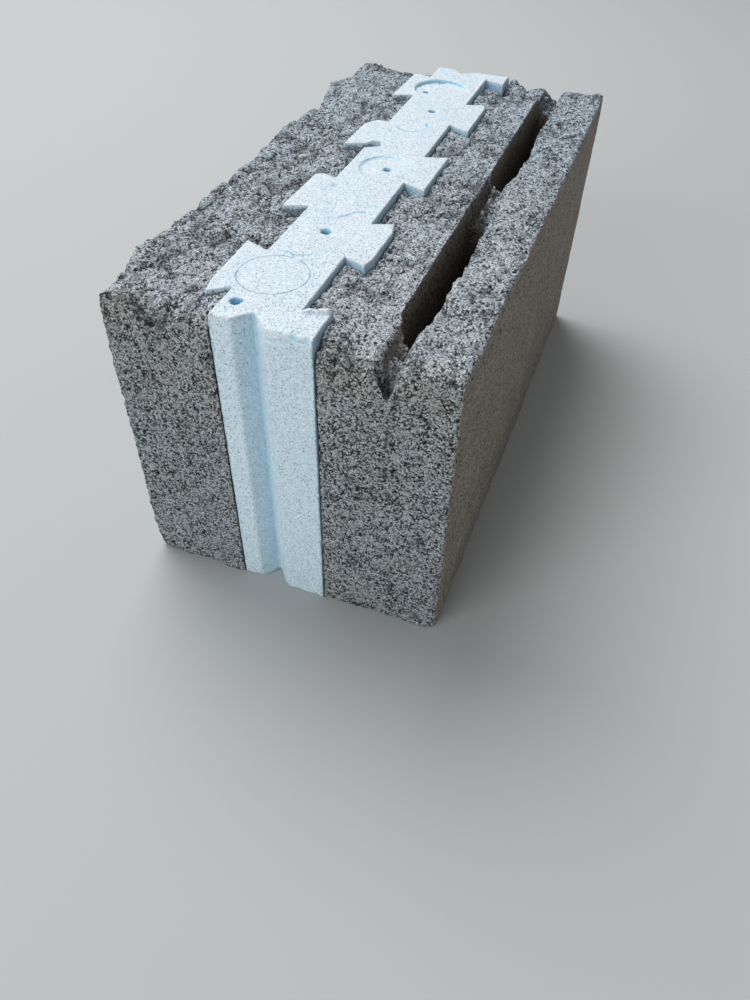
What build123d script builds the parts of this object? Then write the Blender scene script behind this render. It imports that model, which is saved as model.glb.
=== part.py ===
from build123d import *
import math
import os

# An insulated concrete block: two concrete leaves cast round a foam insert.
# The insert's dovetail teeth are all that holds the leaves together.
# X runs from the solid leaf to the slotted leaf, Y along the block and Z up.
# The origin is the middle of the bed face. All sizes are in millimetres.

# Block
block_length = 390.0
block_width = 200.0
leaf_height = 200.0
corner_radius = 2.5

# Insert, a board on edge whose middle plane lies towards the solid leaf
insert_middle_x = -12.75
insert_thickness = 42.5
insert_stands_above_leaves = 3.0

# Dovetail teeth of the insert, wider at their tips than at their roots
teeth_on_solid_side = 4
slotted_side_tooth_pitch = 98.75
tooth_root_width = 41.0
tooth_tip_width = 53.0
tooth_reach = 15.0

# V groove down each end of the insert, and the two lips beside it
groove_width = 20.0
groove_depth = 10.0
groove_edge_radius = 3.0
slotted_side_lip_beyond_leaf = 1.0
solid_side_lip_behind_leaf = 1.0

# Round marks that the mould leaves in the insert's top, as places off its middle plane
filler_mark_radius = 19.5
filler_mark_depth = 0.8
filler_mark_places = [(-8.0, -146.5), (5.0, -2.5)]
ejector_mark_radius = 11.0
ejector_mark_depth = 0.6
ejector_mark_places = [(-5.0, -66.5), (-4.0, 71.5)]

# The far filler mark is a tilted disc, torn open where it is deepest
torn_mark_place = (-6.0, 145.5)
torn_mark_sink = 1.0
torn_mark_tilt_x = 4.5
torn_mark_tilt_y = 4.0

# Blind pin holes in the insert's top
pin_hole_radius = 2.75
pin_hole_depth = 14.0
pin_hole_places = [(-13.0, -179.5), (0.5, -95.0), (4.5, -3.0), (1.5, 99.5), (-15.5, 139.0)]

# Slots of the slotted leaf, through its height and a little narrower at the bed
outer_shell = 30.5
slot_width = 16.0
slot_draft = 1.0
middle_web = 34.0
end_web = 23.0

# Channel that the core bar leaves across the tops of the webs
channel_top_width = 14.0
channel_floor_width = 6.0
channel_depth = 14.0

# Bites broken from the leaves' top edges, as place along the edge, reach down and in, and length
solid_near_bites = [(-57.0, 10.0, 44.0), (-88.0, 4.0, 20.0)]
solid_far_bites = [(-57.0, 8.0, 20.0)]
slotted_near_bites = [(38.0, 9.0, 36.0)]
slotted_far_bites = [(42.0, 9.0, 20.0)]
slotted_side_bites = [(-100.0, 3.0, 14.0), (13.0, 6.0, 17.0), (172.0, 6.0, 20.0)]

end_y = block_length / 2
side_x = block_width / 2
insert_height = leaf_height + insert_stands_above_leaves
solid_side_tooth_pitch = block_length / teeth_on_solid_side
slotted_side_teeth_middle = teeth_on_solid_side / 2 * slotted_side_tooth_pitch - end_y
slot_x = side_x - outer_shell - slot_width / 2
slot_length = (block_length - middle_web) / 2 - end_web
slot_y = (middle_web + slot_length) / 2
on_line = 0.01


def tooth(side):
    """Adds one tooth's plan that points to +X or -X, with its root on the current place."""
    root = tooth_root_width / 2
    tip = tooth_tip_width / 2
    Polygon((0, -root), (side * tooth_reach, -tip), (side * tooth_reach, tip), (0, root))


def toothed_board():
    """Plan of the board with its teeth, out to the longer lips at both ends."""
    board_length = block_length + 2 * slotted_side_lip_beyond_leaf
    with BuildSketch() as plan:
        with Locations((insert_middle_x, 0)):
            Rectangle(insert_thickness, board_length)
        with Locations((insert_middle_x - insert_thickness / 2, 0)):
            with GridLocations(0, solid_side_tooth_pitch, 1, teeth_on_solid_side):
                tooth(-1)
        with Locations((insert_middle_x + insert_thickness / 2, slotted_side_teeth_middle)):
            with GridLocations(0, slotted_side_tooth_pitch, 1, teeth_on_solid_side + 1):
                tooth(1)
        Rectangle(block_width, board_length, mode=Mode.INTERSECT)
    return plan.sketch


def leaf_plan(outer_x):
    """Plan of a leaf from its outer face to the insert's middle plane, less the toothed board."""
    with BuildSketch() as plan:
        with Locations(((outer_x + insert_middle_x) / 2, 0)):
            Rectangle(abs(outer_x - insert_middle_x), block_length)
        outer_corners = plan.vertices().sort_by(lambda v: abs(v.X - insert_middle_x))[-2:]
        fillet(outer_corners, corner_radius)
        add(toothed_board(), mode=Mode.SUBTRACT)
    return plan.sketch


def insert_plan():
    """Plan of the insert: the toothed board with a V groove and one shorter lip at each end."""
    short_lip_y = end_y - solid_side_lip_behind_leaf
    with BuildSketch() as plan:
        add(toothed_board())
        for end in (-1, 1):
            outwards = Align.MIN if end > 0 else Align.MAX
            with Locations((insert_middle_x, end * short_lip_y)):
                Rectangle(side_x, groove_depth, align=(Align.MAX, outwards), mode=Mode.SUBTRACT)
            # The triangle is twice the groove's size, so it runs out past both lips.
            apex = (0, end * (end_y - groove_depth))
            mouth_y = end * (end_y + groove_depth)
            with Locations((insert_middle_x, 0)):
                Polygon((-groove_width, mouth_y), apex, (groove_width, mouth_y), mode=Mode.SUBTRACT)
        mouth_corners = plan.vertices().filter_by(
            lambda v: on_line < abs(v.X - insert_middle_x) < insert_thickness / 2 - on_line
        )
        fillet(mouth_corners, groove_edge_radius)
    return plan.sketch


def edge_bite(x, y, outward_x, outward_y, reach, length):
    """Breaks a rounded bite from a leaf's top edge at x, y, with outward pointing off the leaf."""
    off = (length**2 / 4 - reach**2) / (2 * reach)
    with Locations((x + outward_x * off, y + outward_y * off, leaf_height + off)):
        Sphere(math.hypot(math.sqrt(2) * off, length / 2), mode=Mode.SUBTRACT)


# Foam insert
with BuildPart() as foam_insert:
    add(insert_plan())
    extrude(amount=insert_height)
    with Locations(*[(insert_middle_x + x, y, insert_height) for x, y in filler_mark_places]):
        Hole(filler_mark_radius, filler_mark_depth)
    with Locations(*[(insert_middle_x + x, y, insert_height) for x, y in ejector_mark_places]):
        Hole(ejector_mark_radius, ejector_mark_depth)
    torn_x, torn_y = torn_mark_place
    torn_middle = (insert_middle_x + torn_x, torn_y, insert_height - torn_mark_sink)
    with Locations(Location(torn_middle, (-torn_mark_tilt_x, -torn_mark_tilt_y, 0))):
        Cylinder(
            filler_mark_radius,
            filler_mark_radius,
            align=(Align.CENTER, Align.CENTER, Align.MIN),
            mode=Mode.SUBTRACT,
        )
    with Locations(*[(insert_middle_x + x, y, insert_height) for x, y in pin_hole_places]):
        Hole(pin_hole_radius, pin_hole_depth)
foam_insert.part.label = "foam_insert"

# Solid leaf
with BuildPart() as solid_leaf:
    add(leaf_plan(-side_x))
    extrude(amount=leaf_height)
    for x, reach, length in solid_near_bites:
        edge_bite(x, -end_y, 0, -1, reach, length)
    for x, reach, length in solid_far_bites:
        edge_bite(x, end_y, 0, 1, reach, length)
solid_leaf.part.label = "solid_leaf"

# Slotted leaf, with its two slots in line and the channel over their webs
with BuildPart() as slotted_leaf:
    add(leaf_plan(side_x))
    extrude(amount=leaf_height)
    for end in (-1, 1):
        with BuildSketch():
            with Locations((slot_x, end * slot_y)):
                SlotOverall(slot_length - 2 * slot_draft, slot_width - 2 * slot_draft, rotation=90)
        with BuildSketch(Plane.XY.offset(leaf_height)):
            with Locations((slot_x, end * slot_y)):
                SlotOverall(slot_length, slot_width, rotation=90)
        loft(mode=Mode.SUBTRACT)
    with BuildSketch(Plane.XZ):
        Polygon(
            (slot_x - channel_floor_width / 2, leaf_height - channel_depth),
            (slot_x + channel_floor_width / 2, leaf_height - channel_depth),
            (slot_x + channel_top_width / 2, leaf_height),
            (slot_x - channel_top_width / 2, leaf_height),
        )
    extrude(amount=end_y, both=True, mode=Mode.SUBTRACT)
    for x, reach, length in slotted_near_bites:
        edge_bite(x, -end_y, 0, -1, reach, length)
    for x, reach, length in slotted_far_bites:
        edge_bite(x, end_y, 0, 1, reach, length)
    for y, reach, length in slotted_side_bites:
        edge_bite(side_x, y, 1, 0, reach, length)
slotted_leaf.part.label = "slotted_leaf"

os.makedirs("parts", exist_ok=True)
export_step(solid_leaf.part, "parts/solid_leaf.step")
export_step(foam_insert.part, "parts/foam_insert.step")
export_step(slotted_leaf.part, "parts/slotted_leaf.step")
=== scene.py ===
import math

import bpy
import numpy as np
from mathutils import Matrix, Vector
from mathutils.geometry import delaunay_2d_cdt


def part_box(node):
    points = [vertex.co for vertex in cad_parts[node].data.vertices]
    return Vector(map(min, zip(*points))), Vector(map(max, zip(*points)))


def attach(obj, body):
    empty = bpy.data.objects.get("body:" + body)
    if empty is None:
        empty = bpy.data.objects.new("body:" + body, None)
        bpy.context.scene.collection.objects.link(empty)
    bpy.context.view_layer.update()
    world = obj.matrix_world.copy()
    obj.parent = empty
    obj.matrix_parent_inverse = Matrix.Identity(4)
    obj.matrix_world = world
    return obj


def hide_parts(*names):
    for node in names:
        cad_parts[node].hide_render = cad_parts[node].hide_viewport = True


# Each of the block's three pieces is made as a dense rough mesh over the plan of its CAD solid's bed face.
# Shape functions work in millimetres, and positions go to metres when a mesh is made.

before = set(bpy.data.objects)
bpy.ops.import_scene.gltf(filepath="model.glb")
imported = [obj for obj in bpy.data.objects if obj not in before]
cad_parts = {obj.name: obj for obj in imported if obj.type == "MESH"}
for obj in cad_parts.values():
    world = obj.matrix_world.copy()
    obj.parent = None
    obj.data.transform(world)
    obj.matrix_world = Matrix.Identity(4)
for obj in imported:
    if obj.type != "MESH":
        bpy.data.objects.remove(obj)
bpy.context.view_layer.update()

MM = 0.001
LEAF_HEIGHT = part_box("solid_leaf")[1].z / MM
END_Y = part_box("solid_leaf")[1].y / MM
SIDE_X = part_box("slotted_leaf")[1].x / MM
FOAM_LOW, FOAM_HIGH = (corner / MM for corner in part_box("foam_insert"))
FOAM_HEIGHT = FOAM_HIGH.z


# Repeatable noise

CREASE_WIDTH = 1.8


def cell_random(cell, seed):
    """A repeatable number from 0 to 1 for each cell."""
    c = cell.astype(np.int64).astype(np.uint64)
    h = c[..., 0] * np.uint64(73856093) ^ c[..., 1] * np.uint64(19349663) ^ c[..., 2] * np.uint64(83492791)
    h = h ^ np.uint64(seed * 2654435761)
    h = (h ^ (h >> np.uint64(31))) * np.uint64(0x9E3779B97F4A7C15)
    h = (h ^ (h >> np.uint64(29))) * np.uint64(0xBF58476D1CE4E5B9)
    h = h ^ (h >> np.uint64(32))
    return (h & np.uint64(0xFFFFFF)).astype(float) / 0xFFFFFF


def waves(points, size, seed):
    """Soft noise from -1 to 1 whose lumps are about size across."""
    q = points / size
    cell = np.floor(q)
    part = q - cell
    part = part * part * (3 - 2 * part)
    total = np.zeros(len(points))
    for corner in np.ndindex(2, 2, 2):
        share = np.prod(np.where(corner, part, 1 - part), axis=1)
        total += share * cell_random(cell + corner, seed)
    return total * 2 - 1


def layered(points, size, seed, layers=3):
    """Soft noise with finer and weaker layers on top, from about -1 to 1."""
    total = sum(waves(points, size / 2**k, seed + 17 * k) / 2**k for k in range(layers))
    return total / 1.6


def nearby_cells(points, size, seed):
    """The 27 cells round each point, and the squared distance to each one's centre."""
    q = points / size
    cell = np.floor(q)
    for step in np.ndindex(3, 3, 3):
        near = cell + step - 1
        centre = near + np.stack([cell_random(near, seed + k) for k in range(3)], axis=1)
        yield near, ((q - centre) ** 2).sum(axis=1)


def clods(points, size, seed):
    """Packed clods: their height, up to 1, and a number that is 1 in the creases where two meet."""
    best = np.zeros(len(points))
    second = np.zeros(len(points))
    for near, gap2 in nearby_cells(points, size, seed):
        radius = 0.7 + 0.3 * cell_random(near, seed + 3)
        value = radius**2 - gap2
        second = np.maximum(second, np.minimum(best, value))
        best = np.maximum(best, value)
    return 1 - np.clip(1 - best / 0.85, 0, 1) ** 1.6, 1 - step_up(best - second, 0, CREASE_WIDTH / size)


def pits(points, size, seed, share):
    """Depth from 0 to 1 of round pits, which are in this share of the cells."""
    best = np.zeros(len(points))
    for near, gap2 in nearby_cells(points, size, seed):
        there = cell_random(near, seed + 3) < share
        radius = 0.25 + 0.35 * cell_random(near, seed + 4)
        best = np.maximum(best, np.where(there, 1 - gap2 / radius**2, 0))
    return np.sqrt(best)


def step_up(value, low, high):
    """Goes smoothly from 0 at low to 1 at high."""
    t = np.clip((value - low) / (high - low), 0, 1)
    return t * t * (3 - 2 * t)


def bell(value, reach):
    """1 at no distance, and nearly 0 beyond twice the reach."""
    return np.exp(-((np.maximum(value, 0) / reach) ** 1.4))


def soft_line(xy, points, half_width):
    """How much each place lies on the line through points, 0 to 1."""
    return np.exp(-((distance_to(xy, zip(points, points[1:])) / half_width) ** 2))


def arc(centre, radius, start, end):
    """Points along an arc from one heading in degrees to another."""
    headings = np.radians(np.linspace(start, end, max(3, round(abs(end - start) / 12))))
    return [(centre[0] + radius * math.cos(h), centre[1] + radius * math.sin(h)) for h in headings]


def beside_lines(lines, step, offsets):
    """Points along both sides of lines, which give a mesh enough detail for them."""
    found = []
    for points in lines:
        for a, b in zip(points, points[1:]):
            along = np.subtract(b, a)
            length = np.linalg.norm(along)
            across = np.array([-along[1], along[0]]) / length
            shares = np.arange(0, 1, step / length)
            found += [a + along * share + across * offset for share in shares for offset in offsets]
    return np.array(found)


def flat(xy):
    return np.column_stack([xy, np.zeros(len(xy))])


# Plans of the solids, from the frame

# Broken corners of the insert's teeth: the sharp corner, and the points that replace it
WORN_CORNERS = [
    ((-49, -172.75), [(-48, -165), (-45.5, -175.5)]),
    ((-49, -22.25), [(-48, -28), (-43.5, -25)]),
    ((-34, 28.25), [(-34, 22), (-24.5, 28), (-27.5, 36), (-31.5, 34.5), (-35.5, 29)]),
    ((-49, 75.25), [(-48.5, 60), (-44, 67), (-41, 70)]),
    ((-49, 172.75), [(-47.5, 168), (-44.5, 170)]),
    ((23.5, -69.75), [(23.5, -82), (21, -71)]),
    ((23.5, -122.75), [(23.5, -112), (21.5, -121.5)]),
    ((23.5, 127.75), [(23.5, 120), (21, 126.5)]),
]


def plan_loops(node):
    """Outlines of a node's bed face in millimetres, the outer one anticlockwise and holes clockwise."""
    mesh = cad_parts[node].data
    places = [tuple(round(c / MM, 3) for c in v.co) for v in mesh.vertices]
    once = set()
    for polygon in mesh.polygons:
        corners = [places[k] for k in polygon.vertices]
        if max(c[2] for c in corners) > 0.001:
            continue
        for a, b in zip(corners, corners[1:] + corners[:1]):
            if (b[:2], a[:2]) in once:
                once.remove((b[:2], a[:2]))
            elif a[:2] != b[:2]:
                once.add((a[:2], b[:2]))
    follows = dict(once)
    loops = []
    while follows:
        start = here = min(follows)
        loop = []
        while here in follows:
            loop.append(here)
            here = follows.pop(here)
        # The bed face looks down, so its outlines run the wrong way round.
        loops.append(worn(without_straight_points(np.array(loop[::-1]))))
    return loops


def without_straight_points(loop):
    """Drops the points that lie in the middle of a straight run."""
    before = loop - np.roll(loop, 1, axis=0)
    after = np.roll(loop, -1, axis=0) - loop
    turn = before[:, 0] * after[:, 1] - before[:, 1] * after[:, 0]
    turn /= np.linalg.norm(before, axis=1) * np.linalg.norm(after, axis=1)
    return loop[np.abs(turn) > 0.001]


def worn(loop):
    """Puts the worn corners of the insert's teeth in place of the sharp ones."""
    places = [tuple(p) for p in loop]
    for corner, points in WORN_CORNERS:
        gaps = [math.dist(corner, p) for p in places]
        k = gaps.index(min(gaps))
        if gaps[k] < 1:
            before, after = places[k - 1], places[(k + 1) % len(places)]
            forwards = math.dist(before, points[0]) + math.dist(points[-1], after)
            backwards = math.dist(before, points[-1]) + math.dist(points[0], after)
            places[k:k + 1] = points if forwards < backwards else points[::-1]
    return np.array(places)


def inside(points, loops):
    """Whether each point is in the plan, by counting the outlines crossed."""
    odd = np.zeros(len(points), bool)
    for loop in loops:
        for a, b in zip(loop, np.roll(loop, -1, axis=0)):
            if a[1] == b[1]:
                continue
            spans = (a[1] > points[:, 1]) != (b[1] > points[:, 1])
            cross = a[0] + (points[:, 1] - a[1]) * (b[0] - a[0]) / (b[1] - a[1])
            odd ^= spans & (points[:, 0] < cross)
    return odd


def distance_to(points, lines):
    """Distance from each point to the nearest of the straight lines, given as pairs of ends."""
    best = np.full(len(points), np.inf)
    for a, b in lines:
        along = np.subtract(b, a)
        t = np.clip(((points - a) @ along) / (along @ along), 0, 1)
        best = np.minimum(best, ((points - a - t[:, None] * along) ** 2).sum(axis=1))
    return np.sqrt(best)


def outward_of(a, b):
    """Direction out of the plan from its side that runs from a to b."""
    along = b - a
    return np.array([along[1], -along[0]]) / np.linalg.norm(along)


def sides_of(loops):
    """All the straight sides of closed outlines."""
    return [side for loop in loops for side in zip(loop, np.roll(loop, -1, axis=0))]


# Dense skin over a plan, with steps between the vertices of its top and of its bed

TOP_STEP = 0.85
LEAF_BED_STEP = 6.0
FOAM_BED_STEP = 8.0


def level_shares(fine_top, fine_step, step, height):
    """Shares of the height at which a column has vertices, finer near the top."""
    low = np.linspace(0, height - fine_top, max(1, round((height - fine_top) / step)) + 1)
    high = np.linspace(height - fine_top, height, max(1, round(fine_top / fine_step)) + 1)
    return np.concatenate([low, high[1:]]) / height


def wall_columns(loop, kind_of, spacing):
    """Upright columns round an outline, as place, outward direction and the kinds of their walls."""
    runs = []
    for a, b in zip(loop, np.roll(loop, -1, axis=0)):
        outward = outward_of(a, b)
        runs.append((a, b - a, outward, kind_of((a + b) / 2, outward)))
    columns = []
    for k, (a, along, outward, kind) in enumerate(runs):
        before_outward, before_kind = runs[k - 1][2:]
        corner = outward + before_outward
        columns.append((a, corner / np.linalg.norm(corner), (before_kind, kind)))
        parts = max(1, round(np.linalg.norm(along) / spacing[kind]))
        columns += [(a + along * part / parts, outward, (kind, kind)) for part in range(1, parts)]
    return columns


def zipper(left, right, heights):
    """Triangles between two neighbouring columns of vertex numbers."""
    faces = []
    i = k = 0
    while i < len(left) - 1 or k < len(right) - 1:
        left_next = i < len(left) - 1 and (
            k == len(right) - 1 or heights[left[i + 1]] <= heights[right[k + 1]]
        )
        if left_next:
            faces.append((left[i], right[k], left[i + 1]))
            i += 1
        else:
            faces.append((left[i], right[k], right[k + 1]))
            k += 1
    return faces


def cap_faces(xy, outlines, inner, first_inner):
    """Triangles over a plan, between its outlines' vertices and the points inside it."""
    numbers = [n for outline in outlines for n in outline]
    points = [Vector(xy[n]) for n in numbers] + [Vector(p) for p in inner]
    edges = []
    start = 0
    for outline in outlines:
        edges += [(start + k, start + (k + 1) % len(outline)) for k in range(len(outline))]
        start += len(outline)
    verts, _, faces, source, _, _ = delaunay_2d_cdt(points, edges, [], 0, 1e-5)
    places = np.array([v[:] for v in verts])
    triangles = np.array([f[:] for f in faces])
    loops = [np.array([xy[n] for n in outline]) for outline in outlines]
    triangles = triangles[inside(places[triangles].mean(axis=1), loops)]
    final = [numbers[s[0]] if s[0] < len(numbers) else first_inner + s[0] - len(numbers) for s in source]
    return [tuple(final[k] for k in triangle) for triangle in triangles]


def grid_points(loops, step, seed):
    """Uneven grid of points inside a plan, a little clear of its outlines."""
    low = np.min([loop.min(axis=0) for loop in loops], axis=0)
    high = np.max([loop.max(axis=0) for loop in loops], axis=0)
    nx, ny = (int(n) for n in np.ceil((high - low) / step))
    gx, gy = np.meshgrid(np.arange(nx) + 0.5, np.arange(ny) + 0.5, indexing="ij")
    gx = gx + 0.5 * (gy.astype(int) % 2)
    random = np.random.default_rng(seed)
    points = np.stack([gx.ravel(), gy.ravel()], axis=1) + random.uniform(-0.22, 0.22, (nx * ny, 2))
    points = low + points * step
    points = points[inside(points, loops)]
    return points[distance_to(points, sides_of(loops)) > 0.55 * step]


def clear_of(points, others, gap):
    """The points that are at least gap away from all the others."""
    keep = np.ones(len(points), bool)
    for other in others:
        keep &= ((points - other) ** 2).sum(axis=1) > gap**2
    return points[keep]


def new_object(name, data):
    """Makes an object and puts it in the scene."""
    made = bpy.data.objects.new(name, data)
    bpy.context.collection.objects.link(made)
    return made


class Skin:
    """A closed prism of fine vertices over a plan, which shape functions then push about."""

    def __init__(self, loops, height, kind_of, spacing, rows, steps, seed, extra=()):
        top_step, bed_step = steps
        self.place, self.outward, self.kinds, self.faces = [], [], [], []
        tops, beds = [], []
        for loop in loops:
            top, bed = self.add_walls(wall_columns(loop, kind_of, spacing), rows, height)
            tops.append(top)
            beds.append(bed)
        self.walls = len(self.place)
        self.top_outline = [n for top in tops for n in top]
        xy = [p[:2] for p in self.place]
        inner = grid_points(loops, top_step, seed)
        if len(extra):
            extra = extra[inside(extra, loops)]
            extra = extra[distance_to(extra, sides_of(loops)) > 0.4 * top_step]
            inner = np.concatenate([extra, clear_of(inner, extra, 0.4 * top_step)])
        self.faces += cap_faces(xy, tops, inner, self.walls)
        self.place += [(x, y, height) for x, y in inner]
        self.top_end = len(self.place)
        bed_points = grid_points(loops, bed_step, seed + 1)
        self.faces += [face[::-1] for face in cap_faces(xy, beds, bed_points, self.top_end)]
        self.place += [(x, y, 0.0) for x, y in bed_points]
        self.place = np.array(self.place)
        self.outward = np.array(self.outward)
        self.wall_part = slice(0, self.walls)
        self.cap_part = slice(self.walls, self.top_end)

    def add_walls(self, columns, rows, height):
        """Adds one outline's walls, and returns its vertex numbers at the top and at the bed."""
        numbers = []
        for place, outward, kinds in columns:
            shares = max((rows[kind] for kind in kinds), key=len)
            numbers.append(list(range(len(self.place), len(self.place) + len(shares))))
            self.place += [(*place, share * height) for share in shares]
            self.outward += [outward] * len(shares)
            self.kinds += [kinds] * len(shares)
        heights = [p[2] for p in self.place]
        for left, right in zip(numbers, numbers[1:] + numbers[:1]):
            self.faces += zipper(left, right, heights)
        return [column[-1] for column in numbers], [column[0] for column in numbers]

    def wall_share(self, kind):
        """For each wall vertex, how much of it belongs to walls of this kind, 0 to 1."""
        return np.array([(a == kind) * 0.5 + (b == kind) * 0.5 for a, b in self.kinds])

    def carry_inwards(self, shift, reach):
        """The top outline's sideways shift, fading out over the cap's vertices, worked out in batches."""
        batch = 4096
        cap = self.place[self.cap_part, :2]
        edge = self.place[self.top_outline, :2]
        edge_shift = shift[self.top_outline]
        result = np.zeros((len(cap), 2))
        for k in range(0, len(cap), batch):
            part = cap[k:k + batch]
            gap2 = ((part[:, None, :] - edge[None, :, :]) ** 2).sum(axis=2)
            nearest = gap2.argmin(axis=1)
            fade = np.exp(-np.sqrt(gap2[np.arange(len(part)), nearest]) / reach)
            result[k:k + batch] = edge_shift[nearest] * fade[:, None]
        return result

    def build(self, name, moved, numbers):
        """Makes the Blender object from the moved places, with named numbers for its material."""
        mesh = bpy.data.meshes.new(name)
        mesh.from_pydata((moved * MM).tolist(), [], self.faces)
        mesh.validate()
        for label, values in numbers.items():
            layer = mesh.attributes.new(label, "FLOAT", "POINT")
            layer.data.foreach_set("value", np.asarray(values, np.float32))
        mesh.shade_smooth()
        return new_object(name, mesh)


# Concrete leaves

SLOT_LOOPS = [loop for loop in plan_loops("slotted_leaf") if np.ptp(loop[:, 0]) < SIDE_X / 4]
SLOT_X = (SLOT_LOOPS[0][:, 0].min() + SLOT_LOOPS[0][:, 0].max()) / 2
SLOT_EDGE_X = SLOT_LOOPS[0][:, 0].max()
SLOT_INNER_X = SLOT_LOOPS[0][:, 0].min()
SLOT_DRAFT = 1.0

LEAF_SPACING = {"end": 1.1, "side": 2.1, "slot": 2.0, "joint": 1.4}
LEAF_ROWS = {
    "end": level_shares(60, 1.0, 1.25, LEAF_HEIGHT),
    "side": level_shares(22, 1.3, 2.5, LEAF_HEIGHT),
    "slot": level_shares(16, 1.4, 12, LEAF_HEIGHT),
    "joint": level_shares(9, 1.4, 60, LEAF_HEIGHT),
}

# Clods piled on the tops: their sizes, and their heights on each leaf
CLOD_SIZES = (15.0, 8.0, 4.2, 2.1)
CLOD_MEAN = 0.75
SOLID_CLODS = (3.1, 1.8, 0.8, 0.25)
SLOTTED_CLODS = (1.9, 1.7, 0.7, 0.25)

# Hollows in the tops as x, y, half width, half length and depth, read off the photograph
SOLID_HOLLOWS = [
    (-65, -191, 6, 5, 4), (-44, -187, 6, 6, 4), (-53, -173, 3, 6, 3), (-70, -165, 3, 7, 3),
    (-78, -155, 2.5, 7, 2), (-88, -117, 5, 3, 2), (-86, -140, 5, 3, 2.5), (-66, -120, 2, 7, 2.5),
    (-68, -97, 2, 7, 3), (-54, -90, 2, 6, 2), (-60, -88, 2, 5, 2), (-87, -84, 3, 6, 3),
    (-94, -89, 4, 3, 2), (-61, 53, 3, 7, 3), (-71, 38, 3, 5, 2.5), (-62, 6, 2.5, 4, 2.5),
    (-66, -12, 4, 6, 2.5), (-86, -10, 3, 6, 2.5), (-87, -42, 5, 3, 2), (-65, -56, 2.5, 5, 2),
    (-57, 180, 5, 12, 4), (-92, 88, 5, 7, 3), (-61, 70, 5, 5, 2.5), (-65, 128, 3, 7, 2.5),
    (-74, 110, 2.5, 8, 2), (-41, -79, 8, 6, 1.5), (-41, 15, 8, 7, 1.5),
]
SLOTTED_HOLLOWS = [
    (43, -184, 6, 7, 3.5), (34, -190, 5, 5, 2.5), (41, -117, 5, 4, 2), (40, -130, 3, 5, 2),
    (14, -24, 4, 5, 2.5), (29, 55, 2, 6, 2), (97, 172, 4, 7, 3), (97, 14, 5, 7, 3.5),
    (98, -100, 3, 7, 2), (98, -165, 3, 5, 2), (42, 183, 5, 8, 3), (36, 107, 4, 3, 2),
    (27, 150, 3, 7, 2), (12, 160, 4, 8, 2), (84, 72, 4, 4, 2), (75, -170, 5, 4, 2), (52, 24, 3, 5, 2.5),
    (88, -40, 5, 6, 1.5), (93, -110, 4, 5, 1.5), (68, -12, 4, 4, 2),
]

# How far the tops have crumbled at their two ends, as places along x and depths there
SOLID_NEAR_DROP = ([-100, -90, -78, -70, -60, -45, -34], [1, 2, 4, 9, 11, 9, 5])
SOLID_FAR_DROP = ([-100, -70, -34], [2, 3, 3])
SLOTTED_NEAR_DROP = ([8, 24, 34, 50, 58, 66, 75, 100], [3, 8, 10, 8, 6, 3, 3, 2])
SLOTTED_FAR_DROP = (
    [24, 30, 34, 39, 44, 48, 57, 67, 80, 90, 95, 100],
    [1, -1, 2, 5, 3, 2.4, 3.4, 2.9, 1.5, 2, 0.5, 0],
)

# How far the solid leaf's outer top edge stands above and outside its straight line, every 15 mm along y
OUTER_EDGE = (
    range(-195, 196, 15),
    [-1.3, -1.8, 0.8, 3.0, 2.8, 1.7, -0.4, 0.6, 1.7, -0.3, 0.0, 1.1, -1.6, 0.0]
    + [1.1, 1.0, 0.9, -0.9, -1.6, -2.0, -1.0, 3.0, 3.0, -0.8, -1.8, -2.8, -2.0],
)

# Depth of each web's broken top across the slot, on its near and far sides
WEB_ACROSS = [53.5, 55, 57, 59.5, 62, 64, 66, 68, 71]
NEAR_WEB = ([0, 1, 4, 11, 16, 15, 6, 2, 0], [0, 0, 1.5, 4, 5, 5.5, 5, 1, 0])
MIDDLE_WEB = ([0, 14, 15, 12, 15, 15, 12, 6, 0], [0, 3, 10, 5, 5.5, 6, 4, 1, 0])
FAR_WEB = ([3, 7, 10, 12.5, 13.5, 14, 11, 5, 0], [0, 1, 2, 4, 7, 8, 6, 1, 0])
WEB_ENDS = {"near": (-195, -165), "middle": (-17, 17), "far": (172, 195)}

# Crumbs and pits on the webs as x, y, half width and height
WEB_CRUMBS = [
    (63.0, -180, 2.6, 5), (60.4, -184, 2.0, 4), (61.5, -190, 2.6, -6), (58.0, 16, 2.0, -5),
    (58.8, 8, 2.4, -6), (58.8, -6, 2.2, -6), (59.4, 12, 1.6, 3), (61.0, 1, 2.0, 4), (58.8, -12, 1.8, 4),
    (63.5, -2, 3.0, 3), (63.5, -11, 2.6, 3), (66, 14, 2.0, 2.5), (62, 180, 2.4, 3),
]

# How far the near slot's inner wall bends outwards at its near end, and how far its top arris does there
WALL_BEND = 6.2
ARRIS_BEND = 2.2

# Lines along the tops of the cast walls on the middle and near webs
CAST_WALL_X = SLOT_INNER_X + 0.75
CAST_WALL_LINES = [
    [(CAST_WALL_X, WEB_ENDS["middle"][0] - 6), (CAST_WALL_X, WEB_ENDS["middle"][1] + 4)],
    [(CAST_WALL_X + ARRIS_BEND, -176), (CAST_WALL_X + ARRIS_BEND, -190)],
    [(52.6, -154), (52.6, -174)],
]

# Edge of the near slot's outer wall, which steps in towards its near end
SHELL_EDGE = (
    [-180, -166, -154.5, -153, -130, -108, -106.5, -90, -70],
    [67, 67.3, 68.3, 70.3, 69.7, 69.3, 71.3, 70.8, 70.2],
)


def leaf_kind(side):
    """Gives the function that names each wall's kind, for a leaf whose outer face has this sign of x."""
    def kind(middle, outward):
        if abs(middle[1]) > END_Y - 3 and abs(outward[1]) > 0.7:
            return "end"
        if side * middle[0] > SIDE_X - 3 and side * outward[0] > 0.5:
            return "side"
        if side > 0 and abs(middle[0] - SLOT_X) < 12:
            return "slot"
        return "joint"
    return kind


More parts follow.
